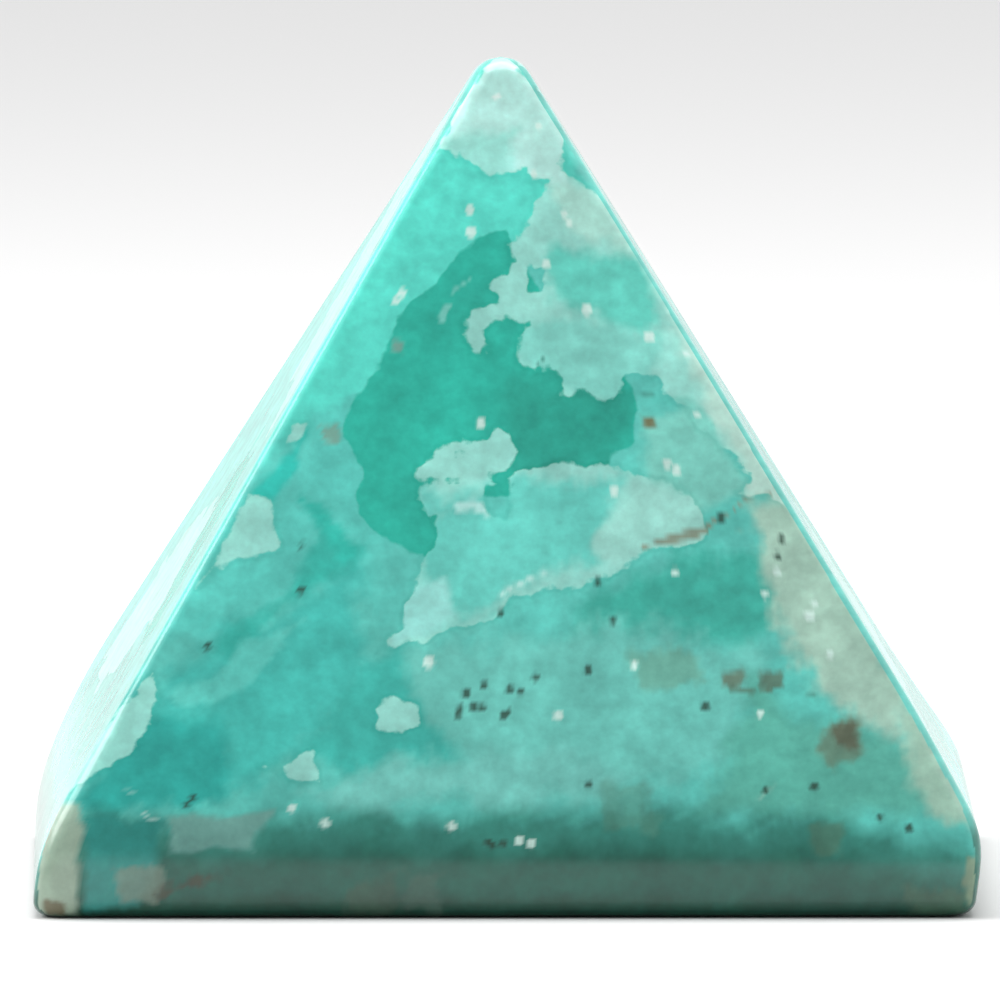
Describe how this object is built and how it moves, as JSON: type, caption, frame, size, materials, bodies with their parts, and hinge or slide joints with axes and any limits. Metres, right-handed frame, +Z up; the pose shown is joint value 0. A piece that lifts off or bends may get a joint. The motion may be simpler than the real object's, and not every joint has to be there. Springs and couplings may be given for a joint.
{
  "type": "polished calcite pyramid",
  "caption": "Solid hand-polished square pyramid of blue-green calcite with a low upright foot, rounded edges and a blunt tip; a display or decorative stone that stands on its flat base.",
  "frame": {"origin": "middle of the flat base, on the surface that the stone stands on", "axes": "+Z up through the tip, -Y towards the pictured front face, +X to the right of it"},
  "size_m": [0.0595, 0.0598, 0.0522],
  "materials": {
    "polished_calcite": "polished"
  },
  "bodies": {
    "root": {"calcite_pyramid": "polished_calcite"}
  },
  "joints": []
}
